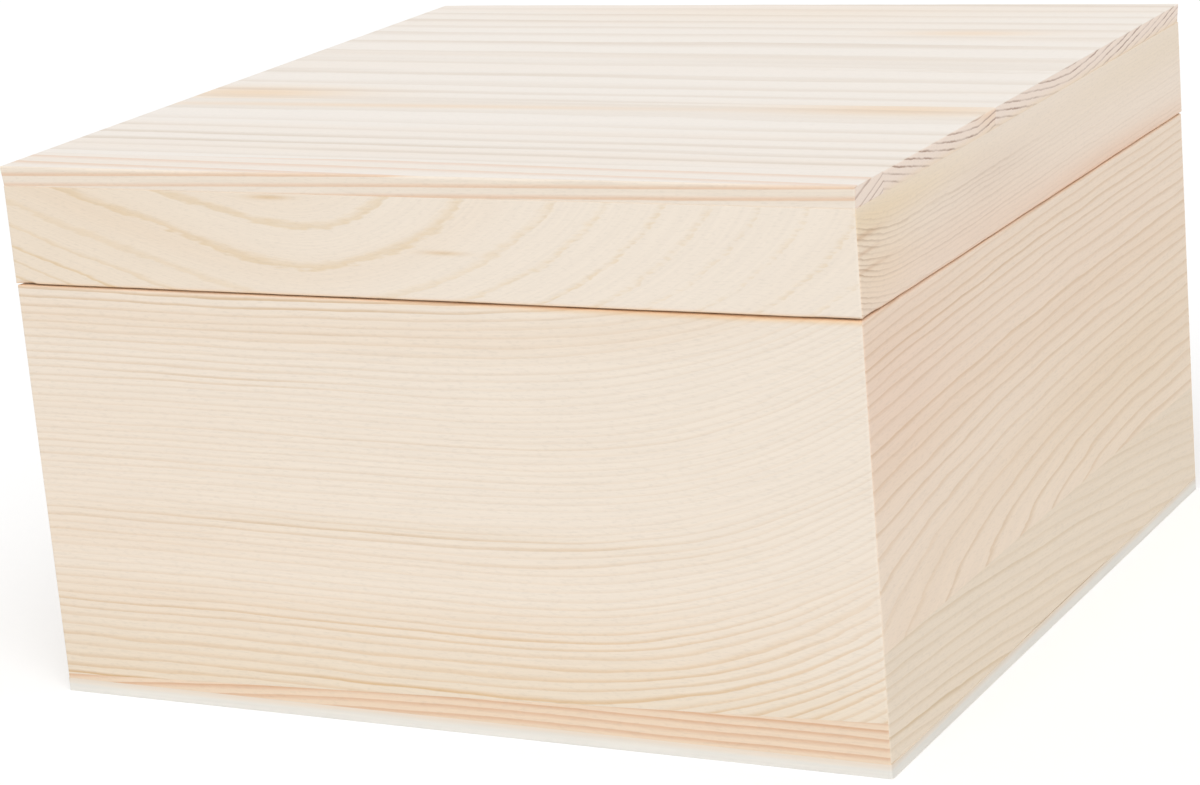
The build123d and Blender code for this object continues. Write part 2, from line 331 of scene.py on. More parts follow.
class Nodes:
    """Adds nodes to a node tree. A value is a number, a colour, a vector or another node's output."""

    def __init__(self, tree):
        self.tree = tree
        self.count = 0

    def add(self, kind, inputs=None, **settings):
        node = self.tree.nodes.new("ShaderNode" + kind)
        node.location = (220 * (self.count // 5), -260 * (self.count % 5))
        self.count += 1
        for name, value in settings.items():
            setattr(node, name, value)
        for key, value in (inputs or {}).items():
            self.feed(node.inputs[key], value)
        return node

    def feed(self, socket, value):
        if isinstance(value, bpy.types.NodeSocket):
            self.tree.links.new(value, socket)
        elif socket.type == "RGBA" and len(value) == 3:
            socket.default_value = (*value, 1)
        else:
            socket.default_value = value

    def math(self, operation, *values):
        node = self.add("Math", dict(enumerate(values)), operation=operation)
        return node.outputs["Value"]

    def plus(self, first, second):
        return self.math("ADD", first, second)

    def minus(self, first, second):
        return self.math("SUBTRACT", first, second)

    def times(self, first, second):
        return self.math("MULTIPLY", first, second)

    def over(self, first, second):
        return self.math("DIVIDE", first, second)

    def vector(self, operation, first, second=None, scale=None):
        node = self.add("VectorMath", {0: first}, operation=operation)
        if second is not None:
            self.feed(node.inputs[1], second)
        if scale is not None:
            self.feed(node.inputs["Scale"], scale)
        single = operation in ("DOT_PRODUCT", "LENGTH")
        return node.outputs["Value" if single else "Vector"]

    def ramp(self, value, start, stop, low=0.0, high=1.0):
        """Smooth step from low to high as the value goes from start to stop."""
        node = self.add("MapRange", interpolation_type="SMOOTHSTEP")
        for key, number in zip(("Value", "From Min", "From Max", "To Min", "To Max"),
                               (value, start, stop, low, high)):
            self.feed(node.inputs[key], number)
        return node.outputs["Result"]

    def noise(self, place, scale, detail=2.0):
        node = self.add("TexNoise", {"Vector": place, "Scale": scale, "Detail": detail})
        return node.outputs["Factor" if "Factor" in node.outputs else "Fac"]

    def mix(self, factor, first, second, blend="MIX"):
        node = self.add("Mix", data_type="RGBA", blend_type=blend)
        for key, value in (("Factor_Float", factor), ("A_Color", first), ("B_Color", second)):
            socket = next(item for item in node.inputs if item.identifier == key)
            self.feed(socket, value)
        return next(item for item in node.outputs if item.identifier == "Result_Color")

    def group(self, tree, inputs):
        return self.add("Group", inputs, node_tree=tree).outputs

    def seen(self):
        """1 where a thing is seen, straight on, in a gloss or through glass, and 0 where it only lights."""
        path = self.add("LightPath").outputs
        seen = self.math("MAXIMUM", path["Is Camera Ray"], path["Is Glossy Ray"])
        return self.math("MAXIMUM", seen, path["Is Transmission Ray"])


def new_group(name, inputs, outputs):
    """An empty shader node group with the named sockets, and the two ends of its tree."""
    tree = bpy.data.node_groups.new(name, "ShaderNodeTree")
    for label, kind in inputs:
        tree.interface.new_socket(label, in_out="INPUT", socket_type="NodeSocket" + kind)
    for label, kind in outputs:
        tree.interface.new_socket(label, in_out="OUTPUT", socket_type="NodeSocket" + kind)
    start = tree.nodes.new("NodeGroupInput")
    start.location = (-300, 0)
    end = tree.nodes.new("NodeGroupOutput")
    end.location = (2600, 0)
    return tree, start.outputs, end.inputs


def growth_rings():
    """Counts a tree's yearly rings at a place in the wood, with all lengths in millimetres. The ring
    number grows with the distance from the pith, the line at the heart of the tree, at one width up to
    Inner End, at Ring Width up to Outer Start and at a third width from there, breathing in and out
    between. Ahead of the pith point and behind it the rings swerve by a power of the distance, given as
    the shift after 100 mm. Cup is 2 for round rings, more for squarer and less for more pointed ones.
    Sway moves neighbouring rings together in long waves and Wobble in short ones, Wander moves each on its
    own, and Ragged tears them in short steps.
    Fibre is the place with its distance from the pith following the rings, squeezed along the grain for
    long streaks, and Splinter is squeezed less, for short dashes. Crossing is 1 where the rings meet the
    surface square on and falls to 0 where they lie along it."""
    name = "growth_rings"
    if name in bpy.data.node_groups:
        return bpy.data.node_groups[name]
    tree, given, result = new_group(
        name,
        (("Position", "Vector"), ("Normal", "Vector"), ("Pith", "Vector"), ("Grain", "Vector"),
         ("Swerve Ahead", "Vector"), ("Swerve Behind", "Vector"), ("Power Ahead", "Float"),
         ("Power Behind", "Float"), ("Cup", "Float"), ("Inner Width", "Float"), ("Inner End", "Float"),
         ("Ring Width", "Float"), ("Outer Start", "Float"), ("Outer Width", "Float"),
         ("First Ring", "Float"), ("Breath", "Float"), ("Breath Length", "Float"), ("Sway", "Float"),
         ("Wobble", "Float"), ("Wander", "Float"), ("Ragged", "Float")),
        (("Rings", "Float"), ("End Grain", "Float"), ("Fibre", "Vector"), ("Splinter", "Vector"),
         ("Crossing", "Float")))
    nodes = Nodes(tree)
    offset = nodes.vector("SUBTRACT", given["Position"], given["Pith"])
    along = nodes.vector("DOT_PRODUCT", offset, given["Grain"])
    across = nodes.vector("SUBTRACT", offset, nodes.vector("SCALE", given["Grain"], scale=along))
    swerved = across
    for way, reach in (("Ahead", 100.0), ("Behind", -100.0)):
        distance = nodes.math("SMOOTH_MAX", nodes.over(along, reach), 0.0, 0.2)
        grown = nodes.math("POWER", distance, given["Power " + way])
        swerved = nodes.vector("ADD", swerved, nodes.vector("SCALE", given["Swerve " + way], scale=grown))
    parts = nodes.add("SeparateXYZ", {0: nodes.vector("ABSOLUTE", swerved)}).outputs
    total = 0.0
    for axis in "XYZ":
        total = nodes.plus(nodes.math("POWER", parts[axis], given["Cup"]), total)
    radius = nodes.math("POWER", total, nodes.over(1.0, given["Cup"]))

    lean = nodes.vector("DOT_PRODUCT", nodes.vector("NORMALIZE", swerved), given["Normal"])
    crossing = nodes.math("SQRT", nodes.minus(1.0, nodes.times(lean, lean)))

    straight = nodes.math("MAXIMUM", nodes.vector("LENGTH", across), 0.1)
    followed = nodes.vector("SCALE", across, scale=nodes.over(radius, straight))
    long_streak = nodes.vector("SCALE", given["Grain"], scale=nodes.over(along, 40.0))
    fibre = nodes.vector("ADD", followed, long_streak)
    short_streak = nodes.vector("SCALE", given["Grain"], scale=nodes.over(along, 5.0))
    splinter = nodes.vector("ADD", across, short_streak)

    inner = nodes.over(nodes.math("MINIMUM", radius, given["Inner End"]), given["Inner Width"])
    held = nodes.math("MINIMUM", nodes.math("MAXIMUM", radius, given["Inner End"]), given["Outer Start"])
    middle = nodes.over(nodes.minus(held, given["Inner End"]), given["Ring Width"])
    past = nodes.math("MAXIMUM", nodes.minus(radius, given["Outer Start"]), 0.0)
    outer = nodes.over(past, given["Outer Width"])
    turn = nodes.times(nodes.over(radius, given["Breath Length"]), math.tau)
    breath = nodes.times(nodes.math("SINE", turn), given["Breath"])
    rings = given["First Ring"]
    for share in (inner, middle, outer, breath):
        rings = nodes.plus(rings, share)
    for place, scale, detail, amount in ((splinter, 0.05, 1.0, "Sway"), (splinter, 0.2, 1.0, "Wobble"),
                                         (fibre, 0.35, 2.0, "Wander"), (splinter, 1.1, 1.0, "Ragged")):
        uneven = nodes.minus(nodes.noise(place, scale, detail), 0.5)
        rings = nodes.plus(rings, nodes.times(uneven, given[amount]))
    facing = nodes.math("ABSOLUTE", nodes.vector("DOT_PRODUCT", given["Normal"], given["Grain"]))
    nodes.feed(result["Rings"], rings)
    nodes.feed(result["End Grain"], nodes.ramp(facing, 0.75, 0.95))
    nodes.feed(result["Fibre"], fibre)
    nodes.feed(result["Splinter"], splinter)
    nodes.feed(result["Crossing"], crossing)
    return tree


def softwood():
    """Colours pale softwood from its ring number: spring wood darkens into a narrow growth line that
    ends sharply, each line with its own strength, under fine fibre streaks, short flecks and slow blushes
    of colour. Torn breaks the lines into short dashes. On sawn ends the ground is warmer and the lines are
    thinner and darker."""
    name = "softwood"
    if name in bpy.data.node_groups:
        return bpy.data.node_groups[name]
    tree, given, result = new_group(
        name,
        (("Rings", "Float"), ("End Grain", "Float"), ("Fibre", "Vector"), ("Splinter", "Vector"),
         ("Early Color", "Color"), ("Late Color", "Color"), ("End Ground Color", "Color"),
         ("End Color", "Color"), ("Blush Color", "Color"), ("Line Share", "Float"), ("Boldness", "Float"),
         ("Variety", "Float"), ("Torn", "Float"), ("Blush", "Float"), ("Polish", "Float")),
        (("Color", "Color"), ("Roughness", "Float"), ("Height", "Float")))
    nodes = Nodes(tree)
    ends = given["End Grain"]
    part = nodes.math("FRACT", given["Rings"])
    kept = nodes.minus(1.0, nodes.times(ends, 0.35))
    share = nodes.times(given["Line Share"], kept)
    rise = nodes.ramp(part, nodes.minus(0.9, share), 0.9)
    tail = nodes.math("MINIMUM", nodes.times(share, 0.3), 0.1)
    fall = nodes.ramp(part, 0.9, nodes.plus(tail, 0.9), 1.0, 0.0)
    line = nodes.times(rise, fall)
    year = nodes.add("TexWhiteNoise", {"W": nodes.math("FLOOR", given["Rings"])}, noise_dimensions="1D")
    year_strength = nodes.ramp(year.outputs["Value"], 0.0, 1.0, 0.4, 1.0)
    patch = nodes.noise(given["Fibre"], 0.2)
    patch_strength = nodes.ramp(patch, 0.3, 0.7, 0.3, 1.5)
    varied = nodes.minus(nodes.times(year_strength, patch_strength), 1.0)
    own_strength = nodes.plus(nodes.times(varied, given["Variety"]), 1.0)
    end_gain = nodes.plus(nodes.times(ends, 0.7), 1.0)
    tear = nodes.ramp(nodes.noise(given["Splinter"], 1.3, 1.0), 0.42, 0.58, 1.0, 0.0)
    whole = nodes.minus(1.0, nodes.times(tear, given["Torn"]))
    strength = line
    for gain in (own_strength, given["Boldness"], end_gain, whole):
        strength = nodes.times(strength, gain)
    strength = nodes.math("MINIMUM", strength, 1.0)
    slow = nodes.noise(given["Fibre"], 0.06, 1.0)
    blush = nodes.times(nodes.ramp(slow, 0.45, 0.75), given["Blush"])
    face_ground = nodes.mix(blush, given["Early Color"], given["Blush Color"])
    ground = nodes.mix(ends, face_ground, given["End Ground Color"])
    line_color = nodes.mix(ends, given["Late Color"], given["End Color"])
    lined = nodes.mix(strength, ground, line_color)
    streak = nodes.noise(given["Fibre"], 2.6, 3.0)
    dash = nodes.noise(given["Splinter"], 3.0, 1.0)
    fleck = nodes.ramp(dash, 0.5, 0.75, 1.0, 0.95)
    shade = nodes.times(nodes.ramp(streak, 0.25, 0.75, 0.975, 1.02), fleck)
    nodes.feed(result["Color"], nodes.vector("SCALE", lined, scale=shade))
    smooth = nodes.plus(nodes.times(strength, 0.1), given["Polish"])
    nodes.feed(result["Roughness"], nodes.minus(nodes.ramp(streak, 0.3, 0.7, 0.6, 0.68), smooth))
    nodes.feed(result["Height"], nodes.plus(nodes.times(line, 0.5), streak))
    return tree


def soft_spot():
    """A mask that is 1 at its centre and fades out as a bell curve over its half size."""
    name = "soft_spot"
    if name in bpy.data.node_groups:
        return bpy.data.node_groups[name]
    tree, given, result = new_group(
        name, (("Position", "Vector"), ("Centre", "Vector"), ("Half Size", "Vector")), (("Mask", "Float"),))
    nodes = Nodes(tree)
    offset = nodes.vector("SUBTRACT", given["Position"], given["Centre"])
    scaled = nodes.vector("DIVIDE", offset, given["Half Size"])
    reach = nodes.vector("DOT_PRODUCT", scaled, scaled)
    nodes.feed(result["Mask"], nodes.math("EXPONENT", nodes.times(reach, -1.0)))
    return tree


def new_material(name):
    """A material with one Principled shader, and the nodes to build it with."""
    material = bpy.data.materials.new(name)
    material.use_nodes = True
    nodes = Nodes(material.node_tree)
    shader = material.node_tree.nodes["Principled BSDF"]
    shader.location = (1500, 300)
    material.node_tree.nodes["Material Output"].location = (1800, 300)
    return material, nodes, shader


usual_growth = {
    "inner_width": 1.0, "inner_end": 0.0, "outer_start": 100000.0, "outer_width": 1.0, "first_ring": 0.0,
    "swerve_ahead": (0, 0, 0), "swerve_behind": (0, 0, 0), "power_ahead": 1.0, "power_behind": 1.0,
    "cup": 2.0, "breath": 0.0, "breath_length": 60.0, "sway": 0.8, "wobble": 0.5, "wander": 0.4,
    "ragged": 0.1,
}


def wood(look, name, grain, late_colour, early_colour=None, line_share=0.4, thinning=0.0, boldness=0.5,
         variety=1.0, blush=0.2, polish=0.0, bold_spots=(), torn_spots=(), line_spots=(), colour_spots=(),
         **growth):
    """Softwood for one board: growth rings about the board's own pith, coloured as softwood with the
    settings that Look holds. A bold spot is a centre, a half size and a gain for the lines there, and a torn
    spot breaks them into dashes. A colour spot is a centre, a half size, a colour that tints the wood there
    and a strength, and a line spot recolours the lines alone. Thinning keeps the lines from growing broad
    where the rings lie along the surface. Growth holds the other inputs of the growth rings, each with its
    name in small letters. All lengths are in millimetres."""
    material, nodes, shader = new_material(name)
    place = nodes.add("TexCoord").outputs
    position = nodes.vector("SCALE", place["Object"], scale=1 / mm)

    def spot_mask(centre, half_size):
        spot = nodes.group(soft_spot(), {"Position": position, "Centre": centre, "Half Size": half_size})
        return spot["Mask"]

    def with_spots(value, spots):
        for centre, half_size, gain in spots:
            extra = nodes.times(spot_mask(centre, half_size), gain)
            value = nodes.plus(extra, value)
        return value

    def tinted(colour, spots, blend):
        for centre, half_size, spot_colour, strength in spots:
            amount = nodes.times(spot_mask(centre, half_size), strength)
            colour = nodes.mix(amount, colour, spot_colour, blend)
        return colour

    named = {key.replace("_", " ").title(): value for key, value in {**usual_growth, **growth}.items()}
    rings = nodes.group(growth_rings(), {
        "Position": position, "Normal": place["Normal"], "Grain": Vector(grain).normalized(), **named})
    line_boldness = nodes.times(with_spots(boldness, bold_spots), look.grain_strength)
    if thinning:
        lost = nodes.times(nodes.minus(1.0, rings["Crossing"]), thinning)
        line_share = nodes.times(nodes.minus(1.0, lost), line_share)
    finish = nodes.group(softwood(), {
        "Rings": rings["Rings"], "End Grain": rings["End Grain"], "Fibre": rings["Fibre"],
        "Splinter": rings["Splinter"],
        "Early Color": early_colour or look.early_colour,
        "Late Color": tinted(late_colour, line_spots, "MIX"),
        "End Ground Color": look.end_ground_colour, "End Color": look.end_colour,
        "Blush Color": look.blush_colour, "Line Share": line_share, "Boldness": line_boldness,
        "Variety": variety, "Torn": with_spots(0.0, torn_spots), "Blush": blush, "Polish": polish})
    bump = nodes.add("Bump", {"Strength": 0.12, "Distance": 0.1 * mm, "Height": finish["Height"]})
    nodes.feed(shader.inputs["Base Color"], tinted(finish["Color"], colour_spots, "MULTIPLY"))
    nodes.feed(shader.inputs["Roughness"], finish["Roughness"])
    nodes.feed(shader.inputs["Normal"], bump.outputs["Normal"])
    shader.inputs["Specular IOR Level"].default_value = 0.4
    return material


# Woods of the case, with lengths in millimetres

def seam_shade_tint(look, x=None, y=None, strength=0.9):
    """Painted shade of the seam: a warm tint that darkens the outer edge of the cut between lid and case, as
    a colour spot, so that the shaded seam shows warm. X or Y is the outer face that it follows."""
    _, case_high = node_box("front_board")
    lid_low, _ = node_box("lid_front_rail")
    middle = (case_high[2] + lid_low[2]) / 2 / mm
    half_size = (1000 if x is None else 1.2, 1000 if y is None else 1.2, 0.5)
    return (x or 0, y or 0, middle), half_size, look.seam_shade_colour, strength


def front_board_wood(look):
    """Fine level lines that turn upwards towards the right, boldest along the bottom and top left."""
    honey = srgb(248, 245, 238)
    cream = srgb(254, 252, 250)
    seam_shade_amber = srgb(252, 236, 214)
    ochre = srgb(219, 172, 103)
    return wood(look, "front_board_wood", pith=(-10, -97, 230), grain=(1, 0, 0),
                ring_width=1.62, outer_start=211, outer_width=2.5,
                swerve_ahead=(0, 0, -16), power_ahead=3.0, cup=4.0, breath=0.57, breath_length=57,
                late_colour=look.late_colour, line_share=0.48, boldness=0.22, variety=0.75,
                sway=1.6, wander=0.7,
                bold_spots=(((0, -97, 6), (300, 50, 17), 0.43),
                            ((-50, -97, 92), (75, 50, 9), 0.38),
                            ((-18, -97, 43.5), (55, 50, 1.4), 0.3),
                            ((-48, -97, 75), (30, 50, 2.5), 0.2),
                            ((80, -97, 20), (40, 50, 14), 0.12),
                            ((70, -97, 75), (50, 50, 25), -0.08)),
                line_spots=(((40, -97, 8), (140, 50, 30), ochre, 0.9),),
                colour_spots=(seam_shade_tint(look, y=-97.2),
                              # Darker towards the bottom: painted shade low on the front, together with a
                              # warmer tone of the wood
                              ((0, -97, 4), (400, 50, 18), honey, 1.0),
                              # Painted shade along the seam: a warm, darker band on the top edge of the
                              # front's right half
                              ((75, -97, 93.3), (75, 50, 0.6), seam_shade_amber, 0.9),
                              ((-100, -97, 50), (70, 50, 60), cream, 1.0),
                              ((-15, -97, 44), (60, 50, 2), honey, 0.35)))


def front_lower_wood(look):
    """Bold straight lines that droop a little towards the left."""
    return wood(look, "front_lower_wood", pith=(20, -95, -60), grain=(1, 0, 0),
                ring_width=1.9, swerve_behind=(0, -22, 0), late_colour=look.bold_colour,
                early_colour=look.stave_colour, line_share=0.58, boldness=0.66, variety=0.4, wobble=0.3,
                wander=0.25)


def right_board_wood(look):
    """Wide lines that fan out of the glue line near the front and run level to the back."""
    rose = srgb(252, 236, 231)
    oat = srgb(246, 240, 227)
    return wood(look, "right_board_wood", pith=(99.7, 82.6, 10), grain=(0, 1, 0),
                inner_width=3.5, inner_end=39.1, ring_width=2.95, outer_start=70, outer_width=2.15,
                first_ring=0.719, swerve_behind=(26.1, 0, 0), power_behind=0.75, cup=3.0,
                late_colour=look.late_colour, early_colour=look.side_colour,
                line_share=0.36, thinning=0.9, boldness=0.37, variety=0.6, sway=0.6, wobble=0.5, wander=0.4,
                bold_spots=(((99.7, 0, 80), (50, 300, 22), 0.14),),
                colour_spots=(seam_shade_tint(look, x=99.7, strength=0.6),
                              ((99.7, -92, 78), (20, 45, 24), rose, 0.5),
                              ((99.7, 20, 76), (20, 100, 22), rose, 0.2),
                              ((99.7, 60, 44), (20, 70, 20), oat, 0.45)))


def right_lower_wood(look):
    """Olive lines that slope down towards the back and spread there, bolder near the bottom in front."""
    shade = srgb(249, 251, 250)
    return wood(look, "right_lower_wood", pith=(99.7, -97.2, -20), grain=(0, 1, -0.06),
                ring_width=2.6, swerve_ahead=(14, 0, 0),
                late_colour=look.olive_colour, early_colour=look.side_colour,
                line_share=0.42, boldness=0.26, variety=0.7, sway=0.8, wander=0.4,
                bold_spots=(((99.7, -85, 7), (50, 60, 6), 0.25),),
                colour_spots=(((99.7, 0, 13), (1000, 1000, 1000), shade, 1.0),))


def left_board_wood(look):
    """A plain board with a pointed figure in its middle."""
    return wood(look, "left_board_wood", pith=(-99, -30, 20), grain=(0, 1, 0.02),
                ring_width=3.2, outer_start=45, outer_width=2.2,
                swerve_ahead=(-20, 0, 0), swerve_behind=(-12, 0, 0), cup=3.0,
                late_colour=look.late_colour, line_share=0.36, boldness=0.42,
                colour_spots=(seam_shade_tint(look, x=-99.7),))


def back_board_wood(look):
    """Nearly straight lines that crowd together towards the top."""
    return wood(look, "back_board_wood", pith=(-30, 90, -70), grain=(1, 0, -0.03),
                ring_width=3.0, outer_start=110, outer_width=1.9,
                swerve_ahead=(0, 25, 0), swerve_behind=(0, 30, 0),
                late_colour=look.late_colour, line_share=0.36, boldness=0.42,
                colour_spots=(seam_shade_tint(look, y=97.2),))


# Woods of the lid, with lengths in millimetres

straw = srgb(252, 246, 226)
orange = srgb(251, 230, 202)


def lid_front_wood(look):
    """Thin straw-yellow cup-shaped lines, lowest left of the middle, torn and faint towards the right."""
    brown = srgb(226, 196, 140)
    cream = srgb(251, 247, 241)
    return wood(look, "lid_front_wood", pith=(-25, -97.35, 125), grain=(1, 0, 0),
                inner_width=8.05, inner_end=33.6, ring_width=4.7, outer_start=43, outer_width=3.5,
                first_ring=0.726, swerve_ahead=(0, -47.3, 0), power_ahead=0.75,
                swerve_behind=(0, 0, -30), power_behind=1.3,
                late_colour=look.rail_colour, line_share=0.2, boldness=0.46, variety=0.6,
                sway=0.35, wobble=0.25, wander=0.3, ragged=0.2,
                bold_spots=(((80, -97.3, 105), (60, 20, 30), -0.1),),
                torn_spots=(((80, -97.3, 105), (75, 20, 30), 0.9),),
                colour_spots=(
                    seam_shade_tint(look, y=-97.3),
                    ((-100, -97.3, 105), (75, 30, 60), cream, 1.0),
                    ((8.5, -97.3, 104.2), (5, 8, 0.45), brown, 0.45),
                    ((-32, -97.3, 114.8), (5, 8, 0.5), brown, 0.5)))


def lid_right_wood(look):
    """Fine smoky lines that fan from the near corner along the lower edge and fade out to the back, under
    a plain straw-coloured upper edge."""
    brown = srgb(205, 168, 128)
    rose = srgb(248, 222, 206)
    ash = srgb(246, 242, 240)
    blush = srgb(252, 242, 236)
    warm = srgb(255, 250, 240)
    dusk = srgb(250, 249, 242)
    pale = srgb(245, 230, 214)
    return wood(look, "lid_right_wood", pith=(97, -68, 30), grain=(0, 1, 0.01),
                ring_width=1.1, swerve_behind=(0, 0, -50), power_behind=2.0,
                late_colour=look.smoke_colour, early_colour=pale, line_share=0.5, boldness=0.17,
                sway=1.4, wobble=1.2, wander=0.9, ragged=0.45,
                bold_spots=(((99.8, -98, 104), (9, 12, 7), 1.34),
                            ((99.8, -55, 103), (9, 50, 8), 0.61),
                            ((99.8, 75, 107), (9, 60, 14), -0.1),
                            ((99.8, -60, 116), (9, 120, 5), -0.43)),
                colour_spots=(
                    seam_shade_tint(look, x=99.8, strength=0.6),
                    ((99.8, -95, 109.8), (8, 8, 0.6), brown, 0.4),
                    ((99.8, -94, 106.5), (8, 6, 0.4), brown, 0.35),
                    ((99.8, -92, 103), (8, 9, 0.4), brown, 0.3),
                    ((99.8, -90, 102), (8, 20, 8), warm, 0.8),
                    ((99.8, -25, 107), (8, 22, 4), ash, 0.5),
                    ((99.8, -40, 97), (8, 70, 7), blush, 0.7),
                    ((99.8, 50, 94), (8, 60, 4), rose, 0.6),
                    ((99.8, 80, 112), (8, 60, 6), dusk, 0.7),
                    ((99.8, -90, 113), (8, 45, 4), straw, 0.75)))


def lid_left_wood(look):
    """Plain rail with level lines."""
    return wood(look, "lid_left_wood", pith=(-99, 10, 60), grain=(0, 1, 0),
                ring_width=2.4, swerve_ahead=(-15, 0, 0), swerve_behind=(-20, 0, 0),
                late_colour=look.rail_colour, line_share=0.36, boldness=0.6,
                colour_spots=(seam_shade_tint(look, x=-99.8),))


def lid_back_wood(look):
    """Plain rail with lines that rise a little to one side."""
    return wood(look, "lid_back_wood", pith=(0, 95, 20), grain=(1, 0, 0.03),
                ring_width=2.8, late_colour=look.rail_colour, line_share=0.36, boldness=0.6,
                colour_spots=(seam_shade_tint(look, y=97.3),))


def panel_foot():
    """The place along the foot of the lid's panel on the right, where the sawn end's lines fade out."""
    return (100, 0, 115.2), (4, 1000, 1.3)


def top_front_wood(look):
    """The narrow front stave: two bold orange lines along its edge, rising a little to the right."""
    cream = srgb(255, 249, 240)
    apricot = srgb(220, 159, 98)
    return wood(look, "top_front_wood", pith=(100, -163, 320), grain=(1, 0, 0.0188),
                inner_width=2.12, inner_end=213, ring_width=3.06, outer_start=215, outer_width=1.5,
                first_ring=0.43, late_colour=apricot, early_colour=look.top_wood_and_sheen_colour,
                line_share=0.48, boldness=0.46, variety=0.4, polish=0.2,
                sway=0.25, wobble=0.1, wander=0.15, ragged=0.05,
                colour_spots=(((0, -97.5, 118), (1000, 0.6, 20), cream, 1.0),))


def top_stave_wood(look, name, heart, heart_height, first_ring, colour_spots):
    """A wide stave of the lid's panel. Its rings are wide pointed bowls about a pith far above it, so
    that they crowd on the sawn ends and lie far apart on the top. The first ring makes the lines of
    neighbouring staves meet at their glue line."""
    return wood(look, name, pith=(0, heart, heart_height), grain=(1, -0.033, 0), ring_width=1.5, cup=1.4,
                first_ring=first_ring, early_colour=look.top_wood_and_sheen_colour, late_colour=look.top_line_colour,
                line_share=0.5, boldness=0.62, variety=0.8, polish=0.2, blush=0.15,
                sway=0.5, wobble=0.1, wander=0.3,
                bold_spots=((*panel_foot(), -0.5),),
                colour_spots=(*colour_spots, (*panel_foot(), straw, 0.7)))


def top_middle_wood(look):
    """The middle stave, with orange patches by its back edge."""
    return top_stave_wood(look, "top_middle_wood", -31.5, 1620, 0.594, (
        ((82, -27, 120), (28, 6.5, 3), orange, 0.75),
        ((-45, -29.5, 120), (80, 2.2, 3), orange, 0.6)))


def top_back_wood(look):
    """The back stave, with an orange patch at the left and one near the back."""
    return top_stave_wood(look, "top_back_wood", 25, 3800, 0.300, (
        ((-86, -17, 120), (28, 7, 3), orange, 0.85),
        ((62, 59, 120), (18, 3.5, 3), orange, 0.6),
        ((5, 84, 120), (70, 12, 3), orange, 0.25)))


def base_sheet_material(look):
    """Whitish sheet whose edge turns cream towards its upper face, with fine streaks."""
    material, nodes, shader = new_material("base_sheet_wood")
    place = nodes.add("TexCoord").outputs
    height = nodes.add("SeparateXYZ", {0: place["Object"]}).outputs["Z"]
    fibre = nodes.vector("MULTIPLY", place["Object"], (40, 40, 1200))
    streak = nodes.noise(fibre, 1.0, 3.0)
    shade = nodes.ramp(streak, 0.3, 0.7, 0.95, 1.01)
    ground = nodes.vector("SCALE", look.sheet_colour, scale=shade)
    uneven = nodes.times(nodes.minus(streak, 0.5), 1.2 * mm)
    face = nodes.ramp(nodes.plus(height, uneven), 1.2 * mm, 2.8 * mm, 0.0, 0.38)
    colour = nodes.mix(face, ground, look.blush_colour)
    bump = nodes.add("Bump", {"Strength": 0.15, "Distance": 0.1 * mm, "Height": streak})
    nodes.feed(shader.inputs["Base Color"], colour)
    nodes.feed(shader.inputs["Roughness"], nodes.ramp(streak, 0.3, 0.7, 0.6, 0.7))
    nodes.feed(shader.inputs["Normal"], bump.outputs["Normal"])
    return material


def metal(name, colour, rough_low, rough_high, dulling):
    """Rolled metal: fine lines along X from the rolling, and dull patches where it was handled."""
    material, nodes, shader = new_material(name)
    place = nodes.add("TexCoord").outputs
    rolled = nodes.noise(nodes.vector("MULTIPLY", place["Object"], (300, 9000, 9000)), 1.0, 2.0)
    patch = nodes.noise(nodes.vector("MULTIPLY", place["Object"], (350, 350, 350)), 1.0, 3.0)
    dull = nodes.ramp(patch, 0.4, 0.7)
    darker = tuple(channel * dulling for channel in colour)
    nodes.feed(shader.inputs["Base Color"], nodes.mix(dull, colour, darker))
    rough = nodes.plus(nodes.ramp(rolled, 0.3, 0.7, rough_low, rough_high),
                       nodes.times(dull, 0.12))
    nodes.feed(shader.inputs["Roughness"], rough)
    bump = nodes.add("Bump", {"Strength": 0.1, "Distance": 0.05 * mm, "Height": rolled})
    nodes.feed(shader.inputs["Normal"], bump.outputs["Normal"])
    shader.inputs["Metallic"].default_value = 1.0
    return material


# Roundings of the edges, as functions of the place along a board

def even(rounding):
    """The same small rounding all along."""
    return lambda place: rounding + 0 * place


def hand_sanded(rounding, start):
    """A rounding that wanders as hand sanding does."""
    edges = bpy.context.scene.box_edges
    return lambda place: rounding * (1 + edges.unevenness * wander(place, 70 * mm, start))


def chipped(rounding, start, chips):
    """A hand-sanded edge with chips, each given by its centre, length and depth."""
    plain = hand_sanded(rounding, start)
    return lambda place: plain(place) + sum(scoop(place, *chip) for chip in chips)


def opened_joint(rounding, centre):
    """A glued edge that stands open for part of its length."""
    edges = bpy.context.scene.box_edges
    return lambda place: rounding + scoop(place, centre, edges.open_length, edges.open_depth)


# Operators

